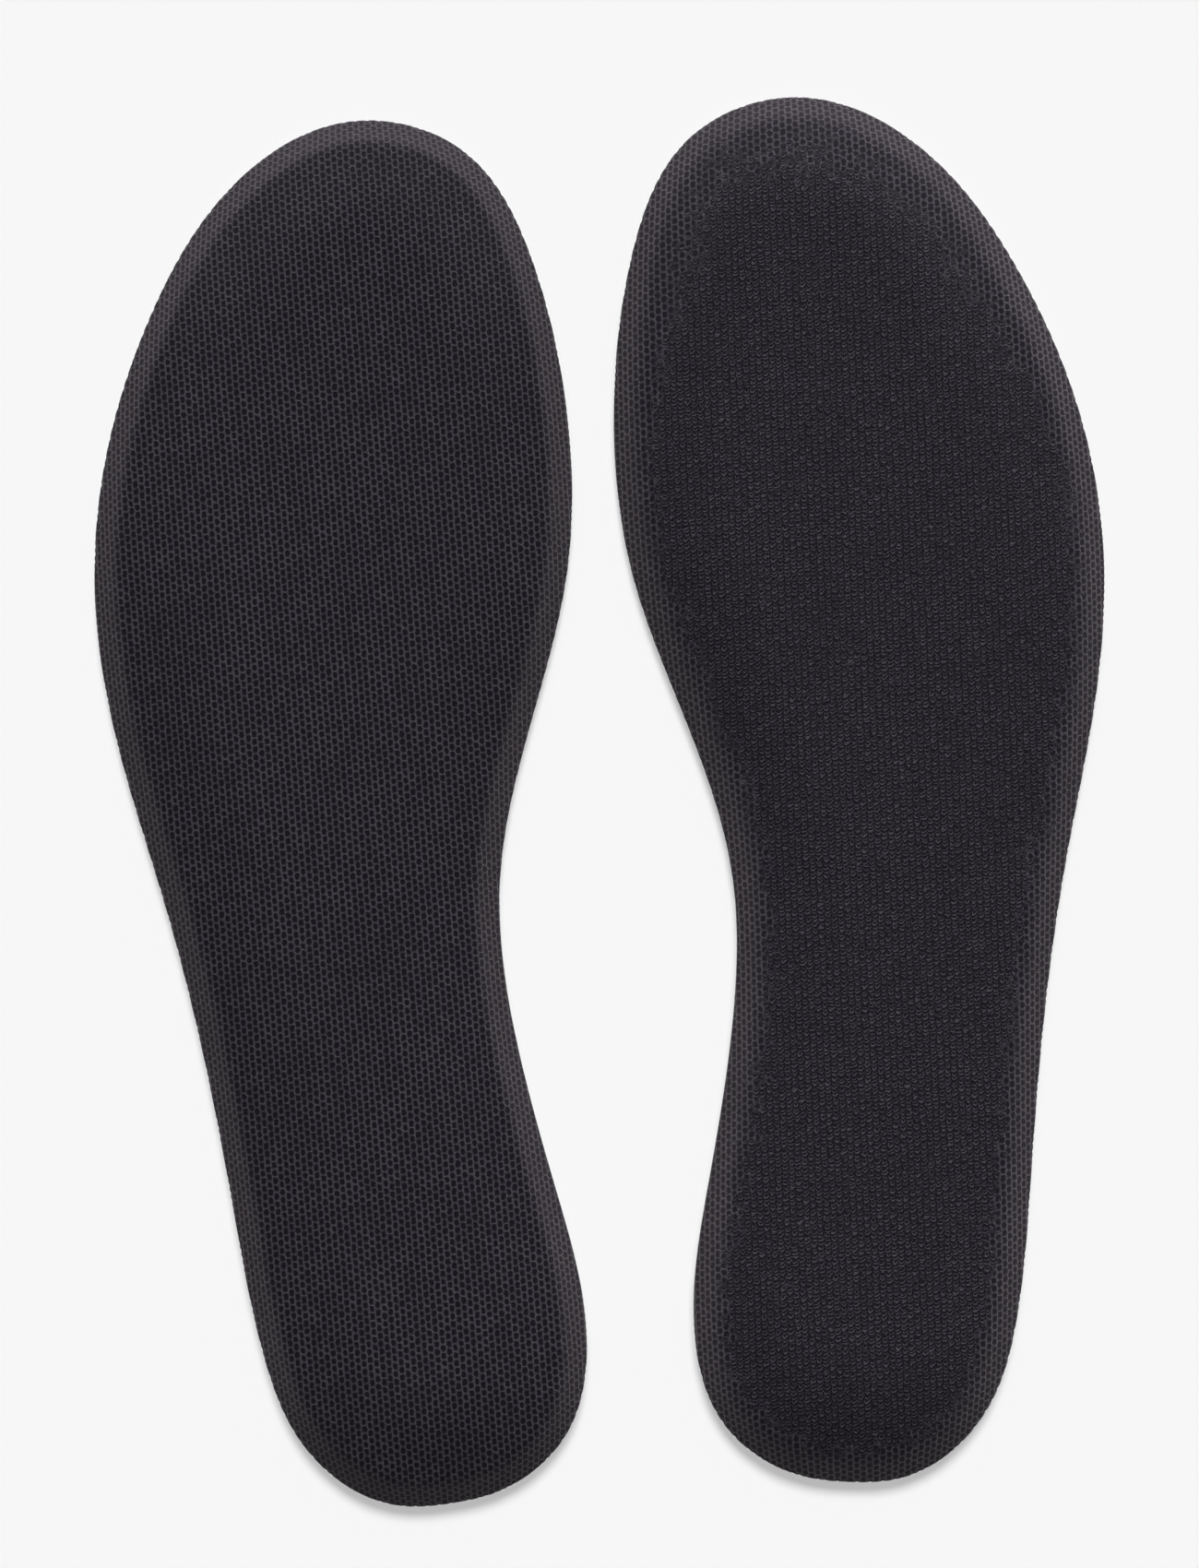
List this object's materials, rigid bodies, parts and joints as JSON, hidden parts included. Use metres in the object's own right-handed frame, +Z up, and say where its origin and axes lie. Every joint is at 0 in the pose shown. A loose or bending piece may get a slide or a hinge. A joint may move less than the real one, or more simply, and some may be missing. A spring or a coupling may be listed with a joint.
{
  "type": "cushioned insole pair",
  "caption": "Left and right cushioned shoe insoles: textile cover, cushion foam, base foam, heel pad and backing, bending at the ball of the foot.",
  "frame": {"origin": "on the ground, at the centre of the box that holds the pair lying flat side by side", "axes": "+Y from heels to toes, +Z up from the ground to the foot side, +X from the left insole to the right one"},
  "size_m": [0.1966, 0.2701, 0.0079],
  "materials": {
    "cover_textile": "matte",
    "cushion_foam": "matte",
    "base_foam": "matte",
    "pad_gel": "satin",
    "backing_textile": "matte"
  },
  "bodies": {
    "left_rear": {"left_top_cover_rear": "cover_textile", "left_cushion_foam_rear": "cushion_foam", "left_base_foam_rear": "base_foam", "left_heel_pad": "pad_gel", "left_backing_rear": "backing_textile"},
    "left_forefoot": {"left_top_cover_forefoot": "cover_textile", "left_cushion_foam_forefoot": "cushion_foam", "left_base_foam_forefoot": "base_foam", "left_backing_forefoot": "backing_textile"},
    "right_rear": {"right_top_cover_rear": "cover_textile", "right_cushion_foam_rear": "cushion_foam", "right_base_foam_rear": "base_foam", "right_heel_pad": "pad_gel", "right_backing_rear": "backing_textile"},
    "right_forefoot": {"right_top_cover_forefoot": "cover_textile", "right_cushion_foam_forefoot": "cushion_foam", "right_base_foam_forefoot": "base_foam", "right_backing_forefoot": "backing_textile"}
  },
  "joints": [
    {"name": "left_ball_flex", "type": "hinge", "parent": "left_rear", "child": "left_forefoot", "pos_m": [-0.0515, 0.0486, 0.00664], "axis": [0.9603, 0.2788, -0.0021], "range_deg": [0, 45], "stiffness_Nm_per_rad": 0.03},
    {"name": "right_insole_apart", "type": "slide", "parent": "left_rear", "child": "right_rear", "axis": [1, 0, 0], "range_m": [0, 0.06]},
    {"name": "right_ball_flex", "type": "hinge", "parent": "right_rear", "child": "right_forefoot", "pos_m": [0.0515, 0.0486, 0.00664], "axis": [0.9603, -0.2788, 0.0021], "range_deg": [0, 45], "stiffness_Nm_per_rad": 0.03}
  ]
}
